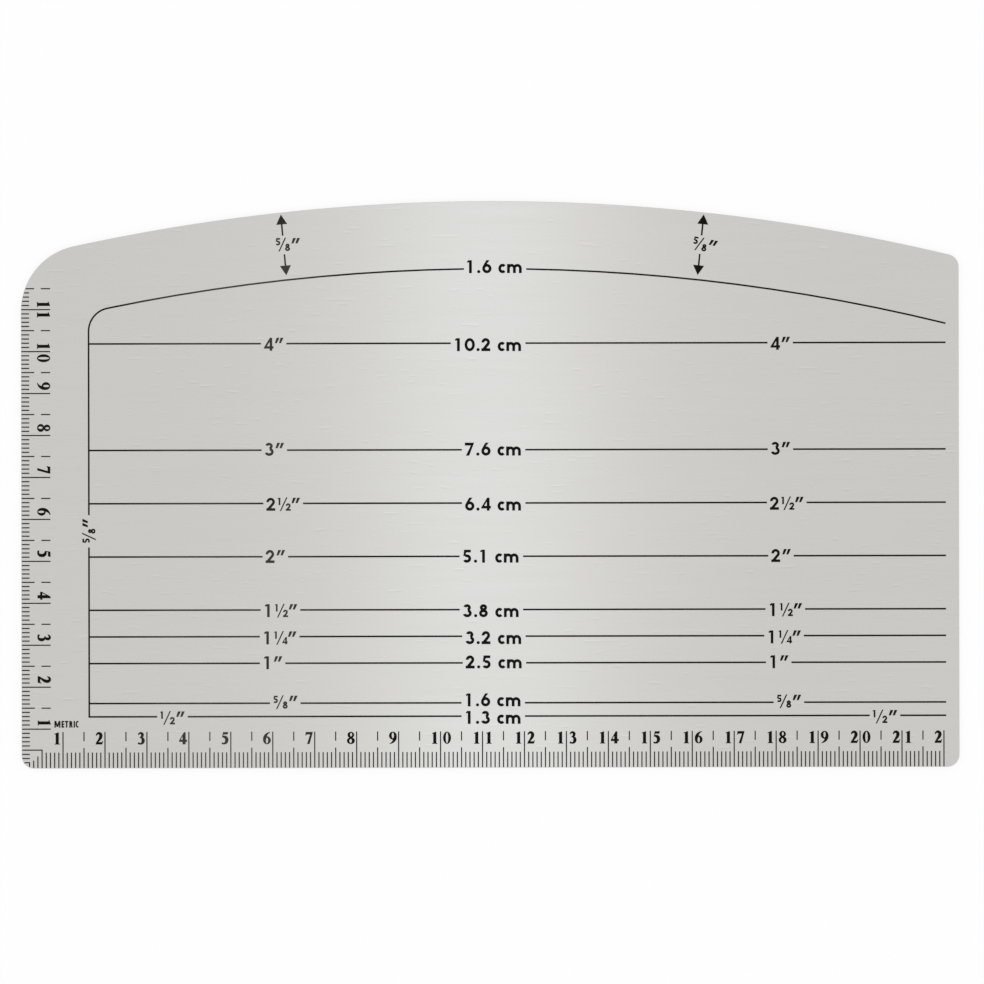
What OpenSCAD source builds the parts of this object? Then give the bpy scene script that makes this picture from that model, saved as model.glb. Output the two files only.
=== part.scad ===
// Sewing gauge: a flat metal sheet with printed hem lines and two centimetre scales.
// It lies on its plain back, printed side up, with X along its length and Y towards the arched edge.

/* [Plate] */
// Length of the plate, from the left edge to the right edge
plate_length = 223.6; // [180:0.1:280]
// Height of the plate, from the bottom edge to the top of the arch
plate_height = 135.1; // [133:0.1:180]
// Thickness of the sheet
plate_thickness = 0.8; // [0.4:0.05:3]
// Radius of the long arch along the top edge
arch_radius = 470; // [350:5:900]
// Radius of the large round corner at the top left
large_corner_radius = 15.9; // [8:0.1:22]
// Radius of the three small round corners
small_corner_radius = 3; // [1:0.1:6]

/* [Printed lines] */
// Thickness of the printed ink film
ink_thickness = 0.03; // [0.02:0.01:0.2]
// Width of the hem lines, the guide line and the arrow shafts
line_width = 0.4; // [0.2:0.02:0.6]
// Seam allowance between the plate's edge and the guide line, about five eighths of an inch
seam_allowance = 16.15; // [10:0.05:19]
// Radius of the guide line's round corner
guide_corner_radius = 5.6; // [3:0.1:15]
// Clear space before and after a label that stands in a line
label_clearance = 0.7; // [0.3:0.1:2]

/* [Scales] */
// Width of a scale tick
tick_width = 0.28; // [0.1:0.02:0.4]
// Gap between the plate's edge and the start of a tick
tick_edge_gap = 0.12; // [0.05:0.01:0.5]
// How far the millimetre ticks of the bottom scale reach
bottom_millimetre_tick = 4.4; // [2:0.1:5]
// How far the half centimetre ticks of the bottom scale reach, below their dash
bottom_half_tick = 5.5; // [3:0.1:6]
// Where the dash above a half centimetre tick of the bottom scale starts
bottom_dash_start = 7.1; // [6.1:0.1:8]
// How far the centimetre ticks and the dashes of the bottom scale reach
bottom_centimetre_tick = 9.3; // [8.5:0.1:11]
// How far the millimetre ticks of the side scale reach
side_millimetre_tick = 2.1; // [1:0.1:3]
// How far the half centimetre ticks of the side scale reach, before their dash
side_half_tick = 3.3; // [2:0.1:4.3]
// Where the dash beside a half centimetre tick of the side scale starts
side_dash_start = 4.9; // [4.4:0.1:6]
// How far the centimetre ticks and the dashes of the side scale reach
side_centimetre_tick = 7.1; // [6.5:0.1:9]

/* [Lettering] */
// Height of the digits in the labels
label_height = 3.1; // [2:0.1:3.8]
// Height of the numerals on the bottom scale
bottom_numeral_height = 2.9; // [2:0.02:3.4]
// Height of the numerals on the side scale, measured across the scale
side_numeral_height = 3.12; // [2:0.02:3.5]
// Height of the capitals in the unit word beside the first numerals
unit_word_height = 1.6; // [1:0.02:2]

/* [Width arrows] */
// Angle of the left arrow from the middle of the arch, in degrees
left_arrow_angle = 6.1; // [4:0.05:9]
// Angle of the right arrow from the middle of the arch, in degrees
right_arrow_angle = 6.25; // [4:0.05:9]
// Length of an arrow's head
arrow_head_length = 2.35; // [1:0.05:3]
// Width of an arrow's head
arrow_head_width = 2.65; // [1:0.05:3.4]

/* [Hidden] */
$fn = 96;

inch = 25.4;
ink = [0.09, 0.09, 0.09];
metal = [0.79, 0.79, 0.78];
overshoot = 1;

// All flat shapes are drawn from the zero corner, where the left and bottom edges would meet.
// The hem lines stand this much nearer to the bottom edge than their sizes say, and the zero of the
// two scales lies a little outside the corner
hem_line_drop = 0.4;
scale_zero = [-0.12, -0.6];
middle_x = plate_length / 2;
arch_centre = [middle_x, plate_height - arch_radius];

// Centre of a circle that touches the inside of an arc round arch_centre, at a given x
function nested_centre(x, arc_radius, radius) =
  [x, arch_centre.y + sqrt(pow(arc_radius - radius, 2) - pow(x - middle_x, 2))];
// Direction of a point seen from arch_centre
function arch_bearing(p) = atan2(p.y - arch_centre.y, p.x - arch_centre.x);
function direction(angle) = [cos(angle), sin(angle)];

large_corner = nested_centre(large_corner_radius, arch_radius, large_corner_radius);
top_right_corner = nested_centre(plate_length - small_corner_radius, arch_radius, small_corner_radius);
bottom_left_corner = [small_corner_radius, small_corner_radius];
bottom_right_corner = [plate_length - small_corner_radius, small_corner_radius];

// The guide line runs along the left and top edges at the seam allowance
guide_radius = arch_radius - seam_allowance;
guide_corner = nested_centre(seam_allowance + guide_corner_radius, guide_radius, guide_corner_radius);
guide_label_y = 56.6;
guide_label_gap = [52.7, 60.4];

// The bottom scale ends at the last whole centimetre that stands at most this far into the round corner,
// and the lines a little past its last tick
corner_overlap = 1;
scale_length = 10 * floor((plate_length - small_corner_radius + corner_overlap) / 10);
line_reach = 0.56;
lines_right = scale_zero.x + scale_length + line_reach;
// The side scale ends at the last half centimetre where the round corner is still this near
// to the left edge
corner_pull_in = 1.2;
side_scale_length = 5 * floor((large_corner.y - scale_zero.y
  + sqrt(pow(large_corner_radius, 2) - pow(large_corner_radius - corner_pull_in, 2))) / 5);
// The two scales meet in a bracket at this distance from their zero, and in a smaller one in the round
// corner, with shorter ticks between them
bracket_size = 5;
corner_bracket_size = 2;
first_tick = 3;
diagonal_clearance = 0.5;

// Numeral places on the scales: distance of a digit's middle, or of its near side, from its tick,
// and the baseline
bottom_left_digit_shift = 1.38;
bottom_right_digit_shift = 1.54;
bottom_digit_base = 6.32;
side_digit_gap = 0.85;
side_pair_gap = 0.62;
side_digit_width = 2.9;
// Half the width of the bold one, and of the widest other bold digit
bold_one_half = 0.22;
bold_half = 0.33;
unit_word_place = [7.95, 10.35];

// Lettering in units of its own height: stroke weights, advances and the steps of a full turn
inch_weight = 0.2;
metric_weight = 0.22;
small_weight = 0.235;
word_weight = 0.21;
bold_swell = 1.35;
small_digit = 0.57;
digit_advance = 0.87;
one_indent = 0.1;
point_advance = 0.385;
space_advance = 0.38;
c_advance = 0.668;
m_advance = 1.25;
prime_width = 0.63;
turn_steps = 20;

// Each hem line: inches, metric label, left, middle and right label starts, and how far the inch and
// metric labels stand above the line's middle. Starts count from the guide line, the middle and the
// right edge
half = [1 / 2, [0, 1, 2], "1.3 cm", 16.9, -6.2, -20.7, -0.28, -0.3];
five_eighths = [5 / 8, [0, 5, 8], "1.6 cm", 43.8, -6.2, -43.6, 0.24, 0.7];
one = [1, [1, 0, 0], "2.5 cm", 41.4, -5.9, -45.4, 0.13, 0.22];
one_quarter = [5 / 4, [1, 1, 4], "3.2 cm", 41.4, -6, -45.8, -0.3, -0.34];
one_half = [3 / 2, [1, 1, 2], "3.8 cm", 41.6, -6.6, -45.5, -0.15, -0.26];
two = [2, [2, 0, 0], "5.1 cm", 42.1, -6.6, -44.8, 0.05, 0.03];
two_half = [5 / 2, [2, 1, 2], "6.4 cm", 42.3, -6, -45.1, -0.2, -0.26];
three = [3, [3, 0, 0], "7.6 cm", 41.9, -6, -44.9, 0.2, 0.15];
four = [4, [4, 0, 0], "10.2 cm", 41.8, -8.6, -44.9, -0.15, -0.34];

function row_y(row) = row[0] * inch - hem_line_drop;
function left_start(row) = seam_allowance + row[3];
function middle_start(row) = middle_x + row[4];
function right_start(row) = plate_length + row[5];
function inch_rise(row) = row[6];
function metric_rise(row) = row[7];

// Flat shapes of the plate

// The part of a disc between two directions, up to half a turn apart
module sector(centre, radius, from, to) {
  reach = 3 * radius;
  translate(centre)
    intersection() {
      circle(radius);
      polygon([
        [0, 0],
        reach * direction(from),
        reach * direction((from + to) / 2),
        reach * direction(to)
      ]);
    }
}

module plate_outline() {
  left = arch_bearing(large_corner);
  right = arch_bearing(top_right_corner);
  cap = 2 * large_corner_radius;
  intersection() {
    translate(arch_centre)
      circle(arch_radius, $fn = 360);
    polygon([
      [large_corner.x, small_corner_radius],
      bottom_right_corner,
      top_right_corner,
      top_right_corner + cap * direction(right),
      large_corner + cap * direction(left),
      large_corner
    ]);
  }
  polygon([
    [small_corner_radius, 0],
    [plate_length - small_corner_radius, 0],
    bottom_right_corner,
    [plate_length, small_corner_radius],
    [plate_length, top_right_corner.y],
    top_right_corner,
    large_corner,
    [0, large_corner.y],
    [0, small_corner_radius],
    bottom_left_corner
  ]);
  sector(large_corner, large_corner_radius, left, 180);
  sector(top_right_corner, small_corner_radius, 0, right);
  sector(bottom_left_corner, small_corner_radius, 180, 270);
  sector(bottom_right_corner, small_corner_radius, 270, 360);
}

// Moves the zero corner's drawing so that the plate's middle is at the origin
module centred() {
  translate([-plate_length / 2, -plate_height / 2, 0])
    children();
}

// Prints a flat drawing on the plate's top
module printed() {
  color(ink)
    centred()
      translate([0, 0, plate_thickness])
        linear_extrude(ink_thickness)
          children();
}

// Prints a part of the two scales, drawn from their own zero
module scale_printed() {
  printed()
    translate(scale_zero)
      children();
}

// Strokes for lines and letters

module bar(from, to, width) {
  across = width / 2 * [from.y - to.y, to.x - from.x] / norm(to - from);
  polygon([from - across, to - across, to + across, from + across]);
}

// Half the width of a circle of the given radius, at a height above its centre
function half_chord(radius, height) = sqrt(max(0, pow(radius, 2) - pow(height, 2)));

// A hem line starts at the guide line's upright, or at its round corner where it stands that high.
// It ends with the bottom scale, or a little before it would meet the guide line's arch
function line_start(y) =
  guide_corner.x
  - (y > guide_corner.y ? half_chord(guide_corner_radius - line_width / 2, y - guide_corner.y)
  : guide_corner_radius - line_width / 2);
function line_end(y) =
  min(lines_right, middle_x + half_chord(guide_radius - label_clearance, y - arch_centre.y));

// A horizontal line with a gap of the given ends for each label
module broken_line(y, gaps) {
  starts = concat([line_start(y + line_width / 2)], [for (gap = gaps) gap[1]]);
  ends = concat([for (gap = gaps) gap[0]], [line_end(y)]);
  for (i = [0 : len(gaps)])
    bar([starts[i], y], [ends[i], y], line_width);
}

// Letter shapes are drawn in units of their height, at the size $letter_width by $letter_height
module shape(points) {
  polygon([for (p = points) [p.x * $letter_width, p.y * $letter_height]]);
}

module letter_size(width, height) {
  $letter_width = width;
  $letter_height = height;
  children();
}

function arc(centre, radii, from, to) =
  let (steps = max(2, ceil(abs(to - from) * turn_steps / 360)))
  [for (i = [0 : steps])
    let (way = direction(from + (to - from) * i / steps))
    centre + [radii.x * way.x, radii.y * way.y]];

function reversed(points) = [for (i = [len(points) - 1 : -1 : 0]) points[i]];

module oval(centre, radii) {
  shape([for (i = [1 : turn_steps])
    let (way = direction(360 * i / turn_steps))
    centre + [radii.x * way.x, radii.y * way.y]]);
}

// A stroke of even weight along an arc, counted anticlockwise, with the outer radii given
module bow(centre, radii, from, to, weight) {
  inner = radii - [weight, weight];
  shape(concat(arc(centre, radii, from, to), reversed(arc(centre, inner, from, to))));
}

module ring(centre, radii, weight) {
  difference() {
    oval(centre, radii);
    oval(centre, radii - [weight, weight]);
  }
}

// A stroke through hand-placed points [x, y, weight], for letters whose strokes swell
function unit(v) = v / norm(v);
function flat(p) = [p.x, p.y];
function chord(path, i, k) = unit(flat(path[k]) - flat(path[i]));
function end_turn(first, next) = 2 * (first * next) * first - next;
function heading(path, i) =
  let (last = len(path) - 1)
  i == 0 ? end_turn(chord(path, 0, 1), chord(path, 0, 2))
  : i == last ? end_turn(chord(path, last - 1, last), chord(path, last - 2, last))
  : chord(path, i - 1, i + 1);
function border(path, side) = [for (i = [0 : len(path) - 1])
  let (way = heading(path, i))
  flat(path[i]) + side * bold_swell * path[i][2] / 2 * [-way.y, way.x]];

module swelling_stroke(path) {
  shape(concat(border(path, -1), reversed(border(path, 1))));
}

// Plain round letters of the labels

module plain_zero(w) {
  ring([0.36, 0.5], [0.4, 0.505], w);
}

module plain_one(w) {
  right = 0.37;
  shape([[right - w, 0], [right, 0], [right, 1], [0.12, 1], [0, 0.91], [0.02, 0.8], [right - w, 0.84]]);
}

module plain_two(w) {
  centre = [0.335, 0.68];
  radius = 0.325;
  turn_end = -34;
  foot = 0.03;
  outer = arc(centre, [radius, radius], turn_end, 184);
  inner = reversed(arc(centre, [radius - w, radius - w], turn_end, 184));
  shape(concat(outer, inner, [[foot, w * 0.6], [foot + 1.32 * w, w * 0.6]]));
  shape([[0, 0], [0.69, 0], [0.69, w], [0, w]]);
}

module plain_three(w) {
  bow([0.345, 0.74], [0.29, 0.265], -80, 165, w);
  bow([0.355, 0.305], [0.35, 0.31], -163, 80, w);
}

module plain_four(w) {
  stem = 0.64;
  bar_low = 0.165;
  difference() {
    shape([
      [0, bar_low], [0, 0.25], [0.46, 1], [stem, 1], [stem, bar_low + w * 0.9], [0.74, bar_low + w * 0.9],
      [0.74, bar_low], [stem, bar_low], [stem, 0], [stem - w, 0], [stem - w, bar_low]
    ]);
    shape([[0.23, bar_low + w * 0.9], [stem - w, bar_low + w * 0.9], [stem - w, 0.68]]);
  }
}

module plain_five(w) {
  bow([0.33, 0.32], [0.335, 0.325], -148, 128, w);
  shape([
    [0.06, 0.48], [0.22, 0.56], [0.12 + w * 0.8, 1 - w * 0.95],
    [0.64, 1 - w * 0.95], [0.64, 1], [0.12, 1]
  ]);
}

module plain_six(w) {
  centre = [0.37, 0.355];
  radius = 0.36;
  lean = 150;
  touch = centre + radius * direction(lean);
  slope = direction(lean - 90);
  left_top = touch + slope * (1 - touch.y) / slope.y;
  right_top = left_top + [w / slope.y, 0];
  difference() {
    shape(concat([left_top, right_top], arc(centre, [radius, radius], 91, lean - 360)));
    oval(centre, [radius - w, radius - w]);
  }
}

module plain_seven(w) {
  shape([[0, 1], [0, 1 - w], [0.46, 1 - w], [0.08, 0], [0.08 + 1.15 * w, 0], [0.72, 1]]);
}

module plain_eight(w) {
  top = [0.345, 0.74];
  low = [0.345, 0.3];
  top_radii = [0.28, 0.26];
  low_radii = [0.34, 0.305];
  difference() {
    union() {
      oval(top, top_radii);
      oval(low, low_radii);
    }
    oval(top, top_radii - [w, w]);
    oval(low, low_radii - [w, w]);
  }
}

module plain_digit(digit, w) {
  if (digit == 0) plain_zero(w);
  if (digit == 1) plain_one(w);
  if (digit == 2) plain_two(w);
  if (digit == 3) plain_three(w);
  if (digit == 4) plain_four(w);
  if (digit == 5) plain_five(w);
  if (digit == 6) plain_six(w);
  if (digit == 7) plain_seven(w);
  if (digit == 8) plain_eight(w);
}

module plain_c(w) {
  bow([0.325, 0.355], [0.325, 0.365], 44, 316, w);
}

module plain_m(w) {
  top = 0.71;
  spacing = 0.458;
  radius = (spacing + w) / 2;
  shape([[0, 0], [w, 0], [w, top - 0.01], [0, top - 0.01]]);
  for (side = [0, 1]) {
    centre = [radius + side * spacing, top - radius];
    right = centre.x + radius;
    bow(centre, [radius, radius], 0, 162, w);
    shape([[right - w, 0], [right, 0], [right, centre.y], [right - w, centre.y]]);
  }
}

// The inch mark: two slanted, tapered dashes
module double_prime() {
  low = 0.58;
  for (x = [-0.03, 0.28])
    shape([[x, low], [x + 0.16, low], [x + 0.36, 1], [x + 0.13, 1]]);
}

module slash(left, right) {
  weight = 0.105;
  shape([[left, -0.03], [left + weight, -0.03], [right, 1.03], [right - weight, 1.03]]);
}

// Digit rows. The drawing starts at the origin, on its baseline

module small_figure(digit, place, height) {
  translate(place * height)
    letter_size(height * small_digit, height * small_digit)
      plain_digit(digit, small_weight);
}

// A fraction is set a little wider where it stands alone than where it follows a whole number
function fraction_width(whole) = whole > 0 ? 1.09 : 1.26;

module fraction(parts, height) {
  alone = parts[0] == 0;
  slash_left = alone ? 0.23 : 0.16;
  low_start = alone ? 0.74 : 0.62;
  small_figure(parts[1], [0, 1 - small_digit], height);
  letter_size(height, height)
    slash(slash_left, slash_left + 0.6);
  small_figure(parts[2], [low_start, 0], height);
}

// Parts are the whole number, and the figures above and below the slash, each zero where there is none
function whole_width(parts) = parts[0] > 0 ? digit_advance : 0;
function parts_width(parts) =
  whole_width(parts) + (parts[1] > 0 ? fraction_width(parts[0]) : 0);
function inch_label_width(parts) = (parts_width(parts) + prime_width) * label_height;

module inch_label(parts) {
  if (parts[0] > 0)
    translate([parts[0] == 1 ? one_indent * label_height : 0, 0])
      letter_size(label_height, label_height)
        plain_digit(parts[0], inch_weight);
  if (parts[1] > 0)
    translate([whole_width(parts) * label_height, 0])
      fraction(parts, label_height);
  translate([parts_width(parts) * label_height, 0])
    letter_size(label_height, label_height)
      double_prime();
}

function advance(letter) =
  letter == "." ? point_advance
  : letter == " " ? space_advance
  : letter == "c" ? c_advance
  : letter == "m" ? m_advance
  : digit_advance;
function word_width(word, count) = count == 0 ? 0 : word_width(word, count - 1) + advance(word[count - 1]);
function metric_label_width(word) = word_width(word, len(word)) * label_height;

module metric_letter(letter) {
  if (letter == ".") oval([0.13, 0.12], [0.125, 0.12]);
  else if (letter == "c") plain_c(metric_weight);
  else if (letter == "m") plain_m(metric_weight);
  else if (letter != " ") plain_digit(ord(letter) - ord("0"), metric_weight);
}

module metric_label(word) {
  for (i = [0 : len(word) - 1]) {
    indent = word[i] == "1" ? one_indent : 0;
    translate([(word_width(word, i) + indent) * label_height, 0])
      letter_size(label_height, label_height)
        metric_letter(word[i]);
  }
}

// Bold numerals of the scales, each centred on its own middle

module bold_zero() {
  difference() {
    oval([0, 0.5], [0.33, 0.51]);
    oval([0, 0.5], [0.1, 0.43]);
  }
}

module bold_one() {
  shape([
    [-0.22, 0], [0.22, 0], [0.22, 0.045], [0.13, 0.09], [0.13, 1], [0.07, 1],
    [-0.24, 0.88], [-0.22, 0.82], [-0.13, 0.84], [-0.13, 0.09], [-0.22, 0.045]
  ]);
}

module bold_two() {
  swelling_stroke([
    [-0.25, 0.72, 0.05], [-0.2, 0.84, 0.1], [-0.09, 0.92, 0.15], [0.03, 0.92, 0.17], [0.12, 0.84, 0.2],
    [0.15, 0.71, 0.21], [0.1, 0.54, 0.19], [0, 0.39, 0.15], [-0.11, 0.25, 0.11], [-0.22, 0.1, 0.1]
  ]);
  shape([[-0.3, 0], [0.25, 0], [0.33, 0.3], [0.28, 0.3], [0.21, 0.2], [-0.19, 0.2], [-0.3, 0.06]]);
}

module bold_three() {
  swelling_stroke([
    [-0.24, 0.77, 0.05], [-0.18, 0.88, 0.1], [-0.06, 0.94, 0.13], [0.05, 0.91, 0.16], [0.11, 0.81, 0.19],
    [0.09, 0.68, 0.17], [0, 0.59, 0.11], [-0.12, 0.55, 0.05]
  ]);
  swelling_stroke([
    [-0.09, 0.58, 0.05], [0.06, 0.54, 0.13], [0.15, 0.43, 0.19], [0.17, 0.3, 0.21], [0.13, 0.15, 0.18],
    [0.03, 0.06, 0.12], [-0.1, 0.05, 0.1], [-0.2, 0.09, 0.13], [-0.26, 0.12, 0.08]
  ]);
}

module bold_four() {
  difference() {
    shape([
      [-0.33, 0.2], [-0.33, 0.32], [0.07, 1], [0.21, 1], [0.21, 0.38], [0.33, 0.38],
      [0.33, 0.2], [0.21, 0.2], [0.21, 0], [-0.05, 0], [-0.05, 0.2]
    ]);
    shape([[-0.2, 0.38], [-0.05, 0.38], [-0.05, 0.65]]);
  }
}

module bold_five() {
  shape([[-0.25, 0.54], [-0.09, 0.68], [-0.15, 0.71], [-0.12, 0.8], [0.2, 0.8], [0.28, 1], [-0.17, 1]]);
  swelling_stroke([
    [-0.22, 0.6, 0.06], [-0.1, 0.62, 0.14], [0.03, 0.58, 0.19], [0.12, 0.48, 0.21], [0.15, 0.35, 0.21],
    [0.12, 0.2, 0.19], [0.03, 0.09, 0.15], [-0.09, 0.05, 0.1], [-0.19, 0.07, 0.12], [-0.27, 0.1, 0.08]
  ]);
}

module bold_six() {
  difference() {
    union() {
      oval([0, 0.32], [0.32, 0.33]);
      swelling_stroke([
        [-0.2, 0.36, 0.2], [-0.18, 0.56, 0.2], [-0.09, 0.74, 0.17], [0.03, 0.87, 0.11], [0.14, 0.94, 0.07],
        [0.26, 0.98, 0.04]
      ]);
    }
    oval([0, 0.3], [0.09, 0.23]);
  }
}

module bold_seven() {
  shape([
    [-0.3, 0.7], [-0.26, 1], [0.31, 1], [0.31, 0.92], [0.05, 0], [-0.16, 0],
    [0.1, 0.79], [-0.12, 0.79], [-0.2, 0.77], [-0.25, 0.7]
  ]);
}

module bold_eight() {
  difference() {
    union() {
      oval([0, 0.75], [0.28, 0.26]);
      oval([0, 0.27], [0.33, 0.28]);
    }
    oval([0.02, 0.77], [0.08, 0.14]);
    oval([-0.02, 0.25], [0.1, 0.16]);
  }
}

module bold_digit(digit) {
  if (digit == 0) bold_zero();
  if (digit == 1) bold_one();
  if (digit == 2) bold_two();
  if (digit == 3) bold_three();
  if (digit == 4) bold_four();
  if (digit == 5) bold_five();
  if (digit == 6) bold_six();
  if (digit == 7) bold_seven();
  if (digit == 8) bold_eight();
  if (digit == 9)
    translate([0, $letter_height])
      rotate(180)
        bold_six();
}

// Narrow capitals of the unit word

module capital_m(w) {
  width = 0.9;
  for (x = [0, width - w])
    shape([[x, 0], [x + w, 0], [x + w, 1], [x, 1]]);
  shape([[(width - w) / 2, 0.1], [(width + w) / 2, 0.1], [w * 1.3, 1], [0, 1]]);
  shape([[(width - w) / 2, 0.1], [(width + w) / 2, 0.1], [width, 1], [width - w * 1.3, 1]]);
}

module capital_e(w) {
  width = 0.42;
  shape([[0, 0], [w, 0], [w, 1], [0, 1]]);
  for (y = [0, 0.5 - w / 2, 1 - w])
    shape([[0, y], [width, y], [width, y + w], [0, y + w]]);
}

module capital_t(w) {
  width = 0.52;
  shape([[0, 1 - w], [width, 1 - w], [width, 1], [0, 1]]);
  left = (width - w) / 2;
  right = (width + w) / 2;
  shape([[left, 0], [right, 0], [right, 1 - w / 2], [left, 1 - w / 2]]);
}

module capital_r(w) {
  bowl = 0.27;
  shape([[0, 0], [w, 0], [w, 1], [0, 1]]);
  shape([[0, 1 - w], [0.2, 1 - w], [0.2, 1], [0, 1]]);
  shape([[0, 1 - 2 * bowl], [0.2, 1 - 2 * bowl], [0.2, 1 - 2 * bowl + w], [0, 1 - 2 * bowl + w]]);
  bow([0.19, 1 - bowl], [bowl, bowl], -90, 90, w);
  shape([[0.5 - w, 0], [0.5, 0], [0.2 + w, 1 - 2 * bowl + w / 2], [0.2, 1 - 2 * bowl + w / 2]]);
}

module capital_i(w) {
  shape([[0, 0], [w, 0], [w, 1], [0, 1]]);
}

module capital_c(w) {
  bow([0.29, 0.5], [0.29, 0.51], 48, 312, w);
}

module unit_letters() {
  capital_m(word_weight);
  translate([1.06 * $letter_width, 0]) capital_e(word_weight);
  translate([1.57 * $letter_width, 0]) capital_t(word_weight);
  translate([2.22 * $letter_width, 0]) capital_r(word_weight);
  translate([2.86 * $letter_width, 0]) capital_i(word_weight);
  translate([3.15 * $letter_width, 0]) capital_c(word_weight);
}

// Printed pieces

function inch_gap(row, start) =
  [start - label_clearance, start + inch_label_width(row[1]) + label_clearance];
function metric_gap(row) =
  [middle_start(row) - label_clearance, middle_start(row) + metric_label_width(row[2]) + label_clearance];

module hem_line(row) {
  printed()
    broken_line(row_y(row), [
      inch_gap(row, left_start(row)),
      metric_gap(row),
      inch_gap(row, right_start(row))
    ]);
}

module inch_labels(row) {
  base = row_y(row) - label_height / 2 + inch_rise(row);
  printed()
    for (x = [left_start(row), right_start(row)])
      translate([x, base])
        inch_label(row[1]);
}

module metric_labels(row) {
  printed()
    translate([middle_start(row), row_y(row) - label_height / 2 + metric_rise(row)])
      metric_label(row[2]);
}

// The area inside a border that follows the left and top edges at an inset, round the guide line's corner.
// The margin carries it past the guide line's ends
module guided_area(inset, margin) {
  radius = arch_radius - inset;
  corner_radius = guide_corner_radius + seam_allowance - inset;
  turn = arch_bearing(guide_corner);
  low = row_y(half) - line_width / 2 - margin;
  right = lines_right + margin;
  cap = 3 * seam_allowance;
  intersection() {
    translate(arch_centre)
      circle(radius, $fn = 360);
    polygon([
      [guide_corner.x, low],
      [right, low],
      [right, plate_height + overshoot],
      guide_corner + cap * direction(turn),
      guide_corner
    ]);
  }
  polygon([[inset, low], [guide_corner.x, low], guide_corner, [inset, guide_corner.y]]);
  sector(guide_corner, corner_radius, turn, 180);
}

guide_label_start = -5.7;
guide_label_rise = 0.5;
// The guide line comes a little nearer to its metric label on the left
guide_label_clearance = 0.6 * label_clearance;
guide_apex = plate_height - seam_allowance;

module seam_guide_line() {
  start = middle_x + guide_label_start;
  gap_from = start - guide_label_clearance;
  gap_to = start + metric_label_width(five_eighths[2]) + label_clearance;
  printed()
    difference() {
      guided_area(seam_allowance - line_width / 2, 0);
      guided_area(seam_allowance + line_width / 2, overshoot);
      translate([gap_from, guide_apex - overshoot])
        square([gap_to - gap_from, 2 * overshoot]);
      translate([seam_allowance - overshoot, guide_label_gap[0]])
        square([2 * overshoot, guide_label_gap[1] - guide_label_gap[0]]);
    }
}

module seam_guide_cm_label() {
  printed()
    translate([middle_x + guide_label_start, guide_apex - label_height / 2 + guide_label_rise])
      metric_label(five_eighths[2]);
}

// The inch label on the vertical guide line reads upwards
module seam_guide_inch_label() {
  printed()
    translate([seam_allowance + label_height / 2, guide_label_y - inch_label_width(five_eighths[1]) / 2])
      rotate(90)
        inch_label(five_eighths[1]);
}

// Distances of an arrow's parts below the arched edge
arrow_tip_gap = 0.5;
arrow_end = seam_allowance - 1.1;
arrow_break = [5.55, 10];
arrow_label_base = 9;
arrow_label_start = -2.1;
arrow_middle = (arrow_tip_gap + arrow_end) / 2;
// The two arrows lean a little from the arch's radius, and the right arrow's label from level
left_arrow_lean = -1;
right_arrow_lean = 0.4;
right_label_tilt = -5.5;

// Turns a drawing made below the top of the arch to the given angle along the arch
module along_arch(angle) {
  translate(arch_centre)
    rotate(-angle)
      translate([0, arch_radius])
        children();
}

module arrow_half(tip, tail) {
  way = sign(tail - tip);
  base = tip + way * arrow_head_length;
  side = way * arrow_head_width / 2;
  polygon([[0, -tip], [-side, -base], [side, -base]]);
  bar([0, -base + way * line_width / 2], [0, -tail], line_width);
}

// The lean turns an arrow about its own middle
module width_arrow(angle, lean) {
  printed()
    along_arch(angle)
      translate([0, -arrow_middle])
        rotate(lean)
          translate([0, arrow_middle]) {
            arrow_half(arrow_tip_gap, arrow_break[0]);
            arrow_half(arrow_end, arrow_break[1]);
          }
}

module arrow_label(angle, tilt) {
  printed()
    along_arch(angle)
      translate([arrow_label_start, -arrow_label_base])
        rotate(tilt)
          inch_label(five_eighths[1]);
}

// Scales. A tick is a bar from the plate's edge inwards, placed and measured from the scales' zero

function left_edge_at(y) =
  y < small_corner_radius
  ? small_corner_radius - half_chord(small_corner_radius, small_corner_radius - y)
  : y > large_corner.y
  ? large_corner_radius - half_chord(large_corner_radius, y - large_corner.y)
  : 0;
function bottom_edge_at(x) = left_edge_at(min(x, small_corner_radius));

module bottom_tick(x, reach) {
  foot = bottom_edge_at(x - tick_width / 2 + scale_zero.x) + tick_edge_gap - scale_zero.y;
  bar([x, foot], [x, reach], tick_width);
}

module side_tick(y, reach) {
  nearest_side = y + scale_zero.y > large_corner.y ? tick_width / 2 : -tick_width / 2;
  foot = left_edge_at(y + scale_zero.y + nearest_side) + tick_edge_gap - scale_zero.x;
  bar([foot, y], [reach, y], tick_width);
}

function is_minor(n) = n % 5 != 0;

module bottom_millimetre_ticks() {
  scale_printed()
    for (n = [first_tick : scale_length - 1])
      if (is_minor(n))
        bottom_tick(n, min(bottom_millimetre_tick, n - diagonal_clearance));
}

module bottom_half_ticks() {
  scale_printed()
    for (n = [15 : 10 : scale_length - 1]) {
      bottom_tick(n, bottom_half_tick);
      bar([n, bottom_dash_start], [n, bottom_centimetre_tick], tick_width);
    }
}

module bottom_centimetre_ticks() {
  scale_printed()
    for (n = [10 : 10 : scale_length])
      bottom_tick(n, bottom_centimetre_tick);
}

module side_millimetre_ticks() {
  scale_printed()
    for (n = [first_tick : side_scale_length - 1])
      if (is_minor(n))
        side_tick(n, side_millimetre_tick);
}

module side_half_ticks() {
  scale_printed()
    for (n = [15 : 10 : side_scale_length]) {
      side_tick(n, side_half_tick);
      bar([side_dash_start, n], [side_centimetre_tick, n], tick_width);
    }
}

module side_centimetre_ticks() {
  scale_printed()
    for (n = [10 : 10 : side_scale_length])
      side_tick(n, side_centimetre_tick);
}

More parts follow.
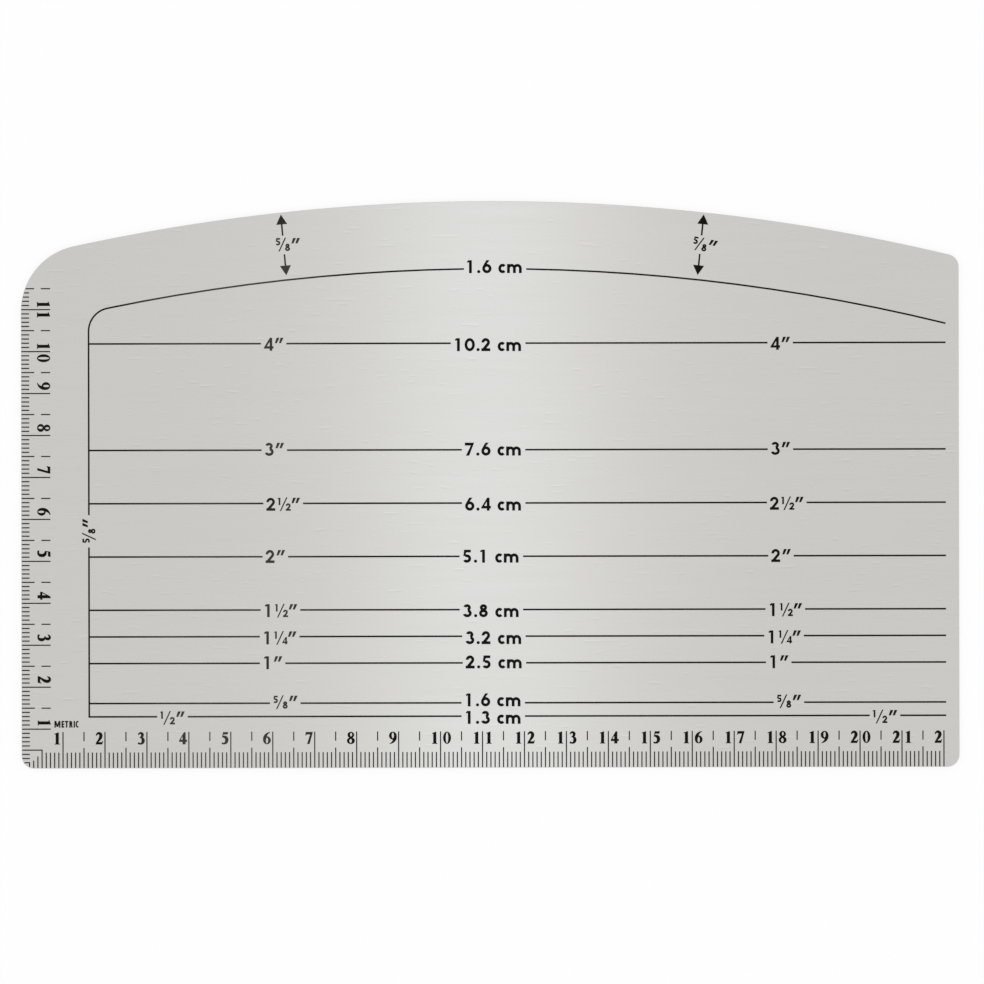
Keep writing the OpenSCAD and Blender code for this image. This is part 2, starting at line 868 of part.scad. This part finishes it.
// The brackets in which both scales' ticks meet
module corner_ticks() {
  scale_printed()
    for (at = [corner_bracket_size, bracket_size]) {
      side_tick(at, at + tick_width / 2);
      bottom_tick(at, at + tick_width / 2);
    }
}

// A one-digit numeral stands before its tick. The digits of a longer one stand on both sides of it
module bottom_numerals() {
  last = scale_length / 10;
  scale_printed()
    letter_size(bottom_numeral_height, bottom_numeral_height)
      for (n = [1 : last]) {
        left_digit = n < 10 ? n : floor(n / 10);
        translate([10 * n - bottom_left_digit_shift, bottom_digit_base])
          bold_digit(left_digit);
        if (n >= 10 && n < last)
          translate([10 * n + bottom_right_digit_shift, bottom_digit_base])
            bold_digit(n % 10);
      }
}

// The numerals of the side scale read downwards
module side_digit(y, digit) {
  translate([side_centimetre_tick - side_numeral_height, y])
    rotate(-90)
      letter_size(side_digit_width, side_numeral_height)
        bold_digit(digit);
}

function half_width(digit) = side_digit_width * (digit == 1 ? bold_one_half : bold_half);

module side_numerals() {
  scale_printed()
    for (n = [1 : floor(side_scale_length / 10)])
      if (n < 10) {
        side_digit(10 * n + side_digit_gap + half_width(n), n);
      } else {
        side_digit(10 * n + side_pair_gap + half_width(floor(n / 10)), floor(n / 10));
        side_digit(10 * n - side_pair_gap - half_width(n % 10), n % 10);
      }
}

module unit_word() {
  scale_printed()
    translate(unit_word_place)
      letter_size(unit_word_height, unit_word_height)
        unit_letters();
}

module gauge_plate() {
  color(metal)
    centred()
      linear_extrude(plate_thickness)
        plate_outline();
}

gauge_plate();
seam_guide_line();
seam_guide_inch_label();
seam_guide_cm_label();
hem_line(half);  // hem_line_half_inch
hem_line(five_eighths);  // hem_line_five_eighths_inch
hem_line(one);  // hem_line_one_inch
hem_line(one_quarter);  // hem_line_one_quarter_inch
hem_line(one_half);  // hem_line_one_half_inch
hem_line(two);  // hem_line_two_inch
hem_line(two_half);  // hem_line_two_half_inch
hem_line(three);  // hem_line_three_inch
hem_line(four);  // hem_line_four_inch
inch_labels(half);  // inch_labels_half
inch_labels(five_eighths);  // inch_labels_five_eighths
inch_labels(one);  // inch_labels_one
inch_labels(one_quarter);  // inch_labels_one_quarter
inch_labels(one_half);  // inch_labels_one_half
inch_labels(two);  // inch_labels_two
inch_labels(two_half);  // inch_labels_two_half
inch_labels(three);  // inch_labels_three
inch_labels(four);  // inch_labels_four
metric_labels(half);  // cm_label_half
metric_labels(five_eighths);  // cm_label_five_eighths
metric_labels(one);  // cm_label_one
metric_labels(one_quarter);  // cm_label_one_quarter
metric_labels(one_half);  // cm_label_one_half
metric_labels(two);  // cm_label_two
metric_labels(two_half);  // cm_label_two_half
metric_labels(three);  // cm_label_three
metric_labels(four);  // cm_label_four
width_arrow(-left_arrow_angle, left_arrow_lean);  // left_width_arrow
arrow_label(-left_arrow_angle, -left_arrow_angle);  // left_arrow_label
width_arrow(right_arrow_angle, right_arrow_lean);  // right_width_arrow
arrow_label(right_arrow_angle, right_label_tilt);  // right_arrow_label
bottom_millimetre_ticks();
bottom_half_ticks();
bottom_centimetre_ticks();
bottom_numerals();
side_millimetre_ticks();
side_half_ticks();
side_centimetre_ticks();
side_numerals();
corner_ticks();
unit_word();
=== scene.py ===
"""Sewing gauge: a brushed metal hem gauge with black print, seen from straight above on a white table."""
import math

import bpy
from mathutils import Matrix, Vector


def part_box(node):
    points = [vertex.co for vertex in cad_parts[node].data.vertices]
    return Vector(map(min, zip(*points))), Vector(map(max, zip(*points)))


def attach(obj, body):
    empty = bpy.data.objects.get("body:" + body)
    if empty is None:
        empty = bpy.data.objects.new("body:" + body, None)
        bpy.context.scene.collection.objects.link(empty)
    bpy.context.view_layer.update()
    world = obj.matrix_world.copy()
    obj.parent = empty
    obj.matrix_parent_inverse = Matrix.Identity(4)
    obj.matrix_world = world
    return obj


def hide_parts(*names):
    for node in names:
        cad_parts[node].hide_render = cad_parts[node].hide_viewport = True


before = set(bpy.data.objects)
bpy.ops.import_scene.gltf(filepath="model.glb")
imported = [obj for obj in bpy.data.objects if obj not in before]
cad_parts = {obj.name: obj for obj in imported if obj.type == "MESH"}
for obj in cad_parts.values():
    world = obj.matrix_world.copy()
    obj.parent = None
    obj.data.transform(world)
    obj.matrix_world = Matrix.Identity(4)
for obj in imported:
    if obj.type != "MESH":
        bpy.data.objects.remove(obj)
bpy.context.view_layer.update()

MM = 0.001

# The picture's frame, and how much of the table it takes in at the height of the print
FRAME_PIXELS = 984
PIXELS_PER_MM = 4.195
VIEW_WIDTH = FRAME_PIXELS / PIXELS_PER_MM * MM

# The camera looks straight down at this point of the table, turned a little about its own axis
CAMERA_AIM = (0.456 * MM, -1.823 * MM)
CAMERA_HEIGHT = 1.0
CAMERA_ROLL = math.radians(-0.112)
SENSOR_WIDTH_MM = 36

# The sheet's own sizes, as in its drawing, and the rounding of its two rims
ARCH_RADIUS = 470 * MM
LARGE_CORNER_RADIUS = 15.9 * MM
SMALL_CORNER_RADIUS = 3 * MM
EDGE_RADIUS = 0.12 * MM

# Straight steps in each round stretch of the sheet's outline, and in the rounding of its rims
ARCH_STEPS = 180
LARGE_CORNER_STEPS = 48
SMALL_CORNER_STEPS = 24
TOP_RIGHT_CORNER_STEPS = 20
EDGE_STEPS = 3

# Features of each pattern, along and across the grain
FINE_GRAIN = (18 * MM, 0.75 * MM)
BROAD_GRAIN = (45 * MM, 2 * MM)
SHORT_STROKES = (3.6 * MM, 0.5 * MM)
WEAR_PATCHES = (60 * MM, 40 * MM)
WEAR_SPECKS = (1.2 * MM, 0.8 * MM)
GREY_PRINT_PATCHES = (30 * MM, 22 * MM)

# A stroke is a painted highlight on one side and a painted shade this far across the grain from it, in the
# metal's colour; the same pair also shapes the bump
STROKE_PAINTED_SHADE_OFFSET = 0.38 * MM

# The upright band in which the print is lighter, grey in patches: its middle, and how far from there it
# starts to lighten and is lightest
GREY_PRINT_X = -62 * MM
GREY_PRINT_STARTS = 26 * MM
GREY_PRINT_FULL = 14 * MM

# Colours, in linear light
METAL_COLOUR = (0.597, 0.584, 0.558)
INK_COLOUR = (0.0045, 0.0042, 0.0034)
PAPER_COLOUR = (0.99, 0.99, 0.99, 1)
LAMP_COLOUR = (0.814, 0.924, 1)

# Share of its own white that the table shows whatever the light on it
PAPER_LIFT = 0.75

# The lamp, straight above the sheet but for a hair to the left, and the table
LAMP_PLACE = (-3 * MM, 0, 1.4)
LAMP_WIDTH = 0.06
LAMP_LENGTH = 1.2
LAMP_WATTS = 0.24
TABLE_WIDTH = 8
TABLE_GAP = 0.02 * MM

# The map on the sheet that the grain's direction comes from
GRAIN_UV = "grain"

sheet_low, sheet_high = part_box("gauge_plate")
print_top = max(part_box(name)[1].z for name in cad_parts)


# Working by hand: selection and edit mode

def deselect_everything():
    for obj in bpy.context.selected_objects:
        obj.select_set(False)
    bpy.context.view_layer.objects.active = None


def work_on(obj):
    deselect_everything()
    obj.select_set(True)
    bpy.context.view_layer.objects.active = obj


def select_edges(obj, wanted):
    """Leaves edit mode, picks the edges whose two end points wanted() accepts, and goes back."""
    bpy.ops.mesh.select_all(action="DESELECT")
    bpy.ops.mesh.select_mode(type="EDGE")
    bpy.ops.object.mode_set(mode="OBJECT")
    points = obj.data.vertices
    for edge in obj.data.edges:
        edge.select = wanted([points[i].co for i in edge.vertices])
    bpy.ops.object.mode_set(mode="EDIT")


# The camera, straight above the table

def add_camera():
    data = bpy.data.cameras.new("camera")
    data.sensor_width = SENSOR_WIDTH_MM
    data.lens = SENSOR_WIDTH_MM * (CAMERA_HEIGHT - print_top) / VIEW_WIDTH
    data.clip_end = 100
    camera = bpy.data.objects.new("camera", data)
    camera.location = (*CAMERA_AIM, CAMERA_HEIGHT)
    camera.rotation_euler = (0, 0, CAMERA_ROLL)
    bpy.context.scene.collection.objects.link(camera)
    bpy.context.scene.camera = camera


# Surface effects

def add_math(tree, operation, *values):
    node = tree.nodes.new("ShaderNodeMath")
    node.operation = operation
    for socket, value in zip(node.inputs, values):
        if isinstance(value, (int, float)):
            socket.default_value = value
        else:
            tree.links.new(value, socket)
    return node.outputs["Value"]


def add_sum(tree, *values):
    total = values[0]
    for value in values[1:]:
        total = add_math(tree, "ADD", total, value)
    return total


def ramp(tree, value, low, high):
    """Zero at low and one at high, with an even ramp between them."""
    node = tree.nodes.new("ShaderNodeMapRange")
    node.inputs["From Min"].default_value = low
    node.inputs["From Max"].default_value = high
    tree.links.new(value, node.inputs["Value"])
    return node.outputs["Result"]


def around_zero(tree, value, amount):
    """Turns a value that varies about a half into one that varies about zero."""
    return add_math(tree, "MULTIPLY", add_math(tree, "SUBTRACT", value, 0.5), amount)


def stretched_noise(tree, size, detail, offset=(0, 0)):
    """Noise with features of about the given size, along and across. The offset, in metres too, moves it
    over the sheet, so that no two patterns run alike."""
    along, across = size
    coordinates = tree.nodes.new("ShaderNodeTexCoord")
    mapping = tree.nodes.new("ShaderNodeMapping")
    mapping.inputs["Location"].default_value = (offset[0] / along, offset[1] / across, 0)
    mapping.inputs["Scale"].default_value = (1 / along, 1 / across, 1 / across)
    tree.links.new(coordinates.outputs["Object"], mapping.inputs["Vector"])
    noise = tree.nodes.new("ShaderNodeTexNoise")
    noise.inputs["Scale"].default_value = 1
    noise.inputs["Detail"].default_value = detail
    tree.links.new(mapping.outputs["Vector"], noise.inputs["Vector"])
    return noise.outputs["Fac"]


def add_strokes(tree, across):
    """Sparse short strokes: the highest peaks of a noise, which is moved across the grain."""
    stroke_edge, stroke_middle = 0.76, 0.84
    noise = stretched_noise(tree, SHORT_STROKES, 0, (13 * MM, across))
    return ramp(tree, noise, stroke_edge, stroke_middle)


def add_brushing(tree):
    """Brushed grain along X with sparse short strokes, each a painted highlight beside a painted shade. Tone
    is about 1, gloss varies round 0.
    """
    fine_tone, broad_tone, stroke_painted_shading = 0.018, 0.025, 0.055
    broad_gloss = 0.045
    fine = stretched_noise(tree, FINE_GRAIN, 0)
    broad = stretched_noise(tree, BROAD_GRAIN, 0, (31 * MM, 7 * MM))
    # Each stroke: painted highlight on one side and painted shade on the other, used in the tone and in the
    # bump
    painted_highlight_side = add_strokes(tree, 5 * MM)
    painted_shade_side = add_strokes(tree, 5 * MM + STROKE_PAINTED_SHADE_OFFSET)
    relief_and_painted_shading = add_math(tree, "SUBTRACT", painted_highlight_side, painted_shade_side)
    # The tone carries the strokes' painted highlight and painted shade; the height carries the same pair as
    # a real ridge
    tone = add_sum(tree, around_zero(tree, fine, fine_tone), around_zero(tree, broad, broad_tone),
                   add_math(tree, "MULTIPLY", relief_and_painted_shading, stroke_painted_shading), 1.0)
    height = add_math(tree, "ADD", fine, relief_and_painted_shading)
    gloss = around_zero(tree, broad, broad_gloss)
    return tone, height, gloss


def wear_group():
    """Faint patches and specks from handling, on the metal and the print. Both values vary round 0."""
    group = bpy.data.node_groups.new("wear", "ShaderNodeTree")
    group.interface.new_socket("Strength", in_out="INPUT", socket_type="NodeSocketFloat")
    start = group.nodes.new("NodeGroupInput")
    end = group.nodes.new("NodeGroupOutput")
    for name, size, detail in (("Patches", WEAR_PATCHES, 2), ("Specks", WEAR_SPECKS, 3)):
        group.interface.new_socket(name, in_out="OUTPUT", socket_type="NodeSocketFloat")
        noise = stretched_noise(group, size, detail, (70 * MM, 21 * MM))
        value = add_math(group, "MULTIPLY", around_zero(group, noise, 1), start.outputs["Strength"])
        group.links.new(value, end.inputs[name])
    return group


def add_grey_print(tree):
    """One where the print is lighter: patches inside a broad band left of the middle, else zero."""
    coordinates = tree.nodes.new("ShaderNodeTexCoord")
    place = tree.nodes.new("ShaderNodeSeparateXYZ")
    tree.links.new(coordinates.outputs["Object"], place.inputs["Vector"])
    aside = add_math(tree, "ABSOLUTE", add_math(tree, "SUBTRACT", place.outputs["X"], GREY_PRINT_X))
    band = ramp(tree, aside, GREY_PRINT_STARTS, GREY_PRINT_FULL)
    patch_edge, patch_middle = 0.25, 0.45
    noise = stretched_noise(tree, GREY_PRINT_PATCHES, 1, (20 * MM, 33 * MM))
    patches = ramp(tree, noise, patch_edge, patch_middle)
    return add_math(tree, "MULTIPLY", band, patches)


# Materials

def new_material(name):
    material = bpy.data.materials.new(name)
    material.use_nodes = True
    return material, material.node_tree, material.node_tree.nodes["Principled BSDF"]


def add_wear(tree, effect, strength):
    wear = tree.nodes.new("ShaderNodeGroup")
    wear.node_tree = effect
    wear.inputs["Strength"].default_value = strength
    return wear.outputs["Patches"], wear.outputs["Specks"]


def add_toned_colour(tree, shader, colour, tone):
    """Sets the base colour to a plain colour times a tone."""
    scale = tree.nodes.new("ShaderNodeVectorMath")
    scale.operation = "SCALE"
    scale.inputs[0].default_value = colour
    tree.links.new(tone, scale.inputs["Scale"])
    tree.links.new(scale.outputs["Vector"], shader.inputs["Base Color"])


def add_roughness(tree, shader, *variations, mean):
    """Sets the roughness to its mean plus variations about zero."""
    tree.links.new(add_sum(tree, *variations, mean), shader.inputs["Roughness"])


def add_bump(tree, shader, height, strength):
    bump = tree.nodes.new("ShaderNodeBump")
    bump.inputs["Strength"].default_value = strength
    bump.inputs["Distance"].default_value = 0.01 * MM
    tree.links.new(height, bump.inputs["Height"])
    tree.links.new(bump.outputs["Normal"], shader.inputs["Normal"])


def brushed_metal(wear_effect):
    """Satin metal. Its grain spreads reflections across the brushing, so a lamp shows as an upright band."""
    quarter_turn = 0.25
    speck_share = 0.03
    material, tree, shader = new_material("brushed_sheet")
    shader.inputs["Metallic"].default_value = 1
    shader.inputs["Anisotropic"].default_value = 0.9
    shader.inputs["Anisotropic Rotation"].default_value = quarter_turn
    tangent = tree.nodes.new("ShaderNodeTangent")
    tangent.direction_type = "UV_MAP"
    tangent.uv_map = GRAIN_UV
    tree.links.new(tangent.outputs["Tangent"], shader.inputs["Tangent"])
    tone, height, gloss = add_brushing(tree)
    patches, specks = add_wear(tree, wear_effect, strength=0.03)
    add_toned_colour(tree, shader, METAL_COLOUR, add_sum(tree, tone, patches))
    smudges = add_math(tree, "MULTIPLY_ADD", specks, speck_share, patches)
    add_roughness(tree, shader, gloss, smudges, mean=0.275)
    add_bump(tree, shader, height, strength=0.03)
    return material


def black_ink(wear_effect):
    """Matt black print, turning grey in patches within an upright band left of the middle."""
    greyest_tone = 8.5
    speck_share = 0.3
    material, tree, shader = new_material("black_print")
    shader.inputs["Specular IOR Level"].default_value = 0.05
    patches, specks = add_wear(tree, wear_effect, strength=1)
    # The print is made lighter, grey in patches, within an upright band left of the middle
    grey_tone = add_math(tree, "MULTIPLY", add_grey_print(tree), greyest_tone)
    add_toned_colour(tree, shader, INK_COLOUR, add_sum(tree, grey_tone, patches, specks, 1.0))
    add_roughness(tree, shader, add_math(tree, "MULTIPLY", specks, speck_share), mean=0.5)
    add_bump(tree, shader, specks, strength=0.1)
    return material


# The sheet: one point is run round the outline, the outline is filled and pulled up to the sheet's
# thickness, and its two rims are rounded

def touching_centre(x, centre, arch_radius, radius):
    """The centre, at x, of a round corner that touches the arch from inside."""
    return x, centre[1] + math.sqrt((arch_radius - radius) ** 2 - (x - centre[0]) ** 2)


def spin_about(centre, degrees, steps):
    """Runs the outline on along part of a circle. It goes anticlockwise, seen from above."""
    middle = (*centre, sheet_low.z)
    bpy.ops.mesh.spin(steps=steps, angle=-math.radians(degrees), center=middle, axis=(0, 0, 1))


def pull_by(x, y, z=0.0):
    bpy.ops.mesh.extrude_region_move(TRANSFORM_OT_translate={"value": (x, y, z)})


def bearing(centre, point):
    return math.degrees(math.atan2(point[1] - centre[1], point[0] - centre[0]))


def is_level(ends):
    """True of an edge of the sheet's two rims, and not of one that stands up between them."""
    return abs(ends[0].z - ends[1].z) < 0.1 * MM


def model_sheet():
    left, bottom, right, top = sheet_low.x, sheet_low.y, sheet_high.x, sheet_high.y
    small = SMALL_CORNER_RADIUS
    arch_centre = ((left + right) / 2, top - ARCH_RADIUS)
    bottom_left = (left + small, bottom + small)
    bottom_right = (right - small, bottom + small)
    top_right = touching_centre(right - small, arch_centre, ARCH_RADIUS, small)
    top_left = touching_centre(left + LARGE_CORNER_RADIUS, arch_centre, ARCH_RADIUS, LARGE_CORNER_RADIUS)
    right_turn = bearing(arch_centre, top_right)
    left_turn = bearing(arch_centre, top_left)

    bpy.ops.mesh.primitive_plane_add(size=MM)
    sheet = bpy.context.object
    sheet.name = "brushed_gauge_sheet"
    sheet.data.name = sheet.name
    work_on(sheet)
    bpy.ops.object.mode_set(mode="EDIT")
    bpy.ops.mesh.merge(type="CENTER")
    bpy.ops.transform.translate(value=(left, bottom_left[1], sheet_low.z))
    spin_about(bottom_left, 90, SMALL_CORNER_STEPS)
    pull_by(bottom_right[0] - bottom_left[0], 0)
    spin_about(bottom_right, 90, SMALL_CORNER_STEPS)
    pull_by(0, top_right[1] - bottom_right[1])
    spin_about(top_right, right_turn, TOP_RIGHT_CORNER_STEPS)
    spin_about(arch_centre, left_turn - right_turn, ARCH_STEPS)
    spin_about(top_left, 180 - left_turn, LARGE_CORNER_STEPS)
    pull_by(0, bottom_left[1] - top_left[1])
    bpy.ops.mesh.select_all(action="SELECT")
    bpy.ops.mesh.remove_doubles(threshold=0.001 * MM)
    bpy.ops.mesh.edge_face_add()
    pull_by(0, 0, sheet_high.z - sheet_low.z)
    bpy.ops.mesh.select_all(action="SELECT")
    bpy.ops.mesh.normals_make_consistent(inside=False)
    select_edges(sheet, is_level)
    bpy.ops.mesh.bevel(offset=EDGE_RADIUS, segments=EDGE_STEPS, affect="EDGES", clamp_overlap=False)
    bpy.ops.mesh.select_all(action="SELECT")
    bpy.ops.uv.cube_project(cube_size=10 * MM, correct_aspect=False, scale_to_bounds=False)
    bpy.ops.object.mode_set(mode="OBJECT")
    sheet.data.uv_layers[0].name = GRAIN_UV
    bpy.ops.object.shade_smooth_by_angle(angle=math.radians(40))
    flatten = sheet.modifiers.new("flat_faces", "WEIGHTED_NORMAL")
    flatten.keep_sharp = True
    bpy.ops.object.modifier_apply(modifier=flatten.name)
    return sheet


# Table, lights and surroundings

def add_mix(tree, share, first, second):
    """The first shader where the share is zero, and the second where it is one."""
    mix = tree.nodes.new("ShaderNodeMixShader")
    for socket, value in zip(mix.inputs, (share, first, second)):
        tree.links.new(value, socket)
    return mix.outputs["Shader"]


def white_paper():
    """Matt white, lifted towards plain white where it is seen, so that shadows on it stay faint. From below
    it is clear, so that the sheet's back can be looked at."""
    material, tree, shader = new_material("white_paper")
    shader.inputs["Base Color"].default_value = PAPER_COLOUR
    shader.inputs["Roughness"].default_value = 0.9
    shader.inputs["Specular IOR Level"].default_value = 0
    glow = tree.nodes.new("ShaderNodeEmission")
    glow.inputs["Color"].default_value = PAPER_COLOUR
    path = tree.nodes.new("ShaderNodeLightPath")
    seen = add_math(tree, "MAXIMUM", path.outputs["Is Camera Ray"], path.outputs["Is Glossy Ray"])
    seen = add_math(tree, "MAXIMUM", seen, path.outputs["Is Transmission Ray"])
    clear = tree.nodes.new("ShaderNodeBsdfTransparent")
    side = tree.nodes.new("ShaderNodeNewGeometry")
    face = add_mix(tree, add_math(tree, "MULTIPLY", seen, PAPER_LIFT), shader.outputs["BSDF"],
                   glow.outputs["Emission"])
    either_side = add_mix(tree, side.outputs["Backfacing"], face, clear.outputs["BSDF"])
    tree.links.new(either_side, tree.nodes["Material Output"].inputs["Surface"])
    return material


def add_table():
    """The table lies a hair under the sheet's back face, so that the two never share one plane."""
    bpy.ops.mesh.primitive_plane_add(size=TABLE_WIDTH, location=(0, 0, -TABLE_GAP))
    table = bpy.context.object
    table.name = "white_table"
    table.data.materials.append(white_paper())


def add_strip_lamp():
    """A long soft lamp over the middle of the sheet, in line with Y. Its reflection is the bright band."""
    data = bpy.data.lights.new("strip_lamp", "AREA")
    data.shape = "RECTANGLE"
    data.size = LAMP_WIDTH
    data.size_y = LAMP_LENGTH
    data.energy = LAMP_WATTS
    data.color = LAMP_COLOUR
    lamp = bpy.data.objects.new("strip_lamp", data)
    lamp.location = LAMP_PLACE
    bpy.context.scene.collection.objects.link(lamp)


def set_world():
    world = bpy.data.worlds.new("white_studio")
    world.use_nodes = True
    background = world.node_tree.nodes["Background"]
    background.inputs["Color"].default_value = (1, 1, 1, 1)
    background.inputs["Strength"].default_value = 1
    bpy.context.scene.world = world


def main():
    add_camera()
    wear_effect = wear_group()
    metal = brushed_metal(wear_effect)
    ink = black_ink(wear_effect)
    sheet = model_sheet()
    sheet.data.materials.append(metal)
    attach(sheet, "root")
    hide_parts("gauge_plate")
    for name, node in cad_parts.items():
        if name != "gauge_plate":
            node.data.materials.clear()
            node.data.materials.append(ink)
    add_table()
    add_strip_lamp()
    set_world()
    bpy.context.scene.view_settings.view_transform = "Standard"


main()
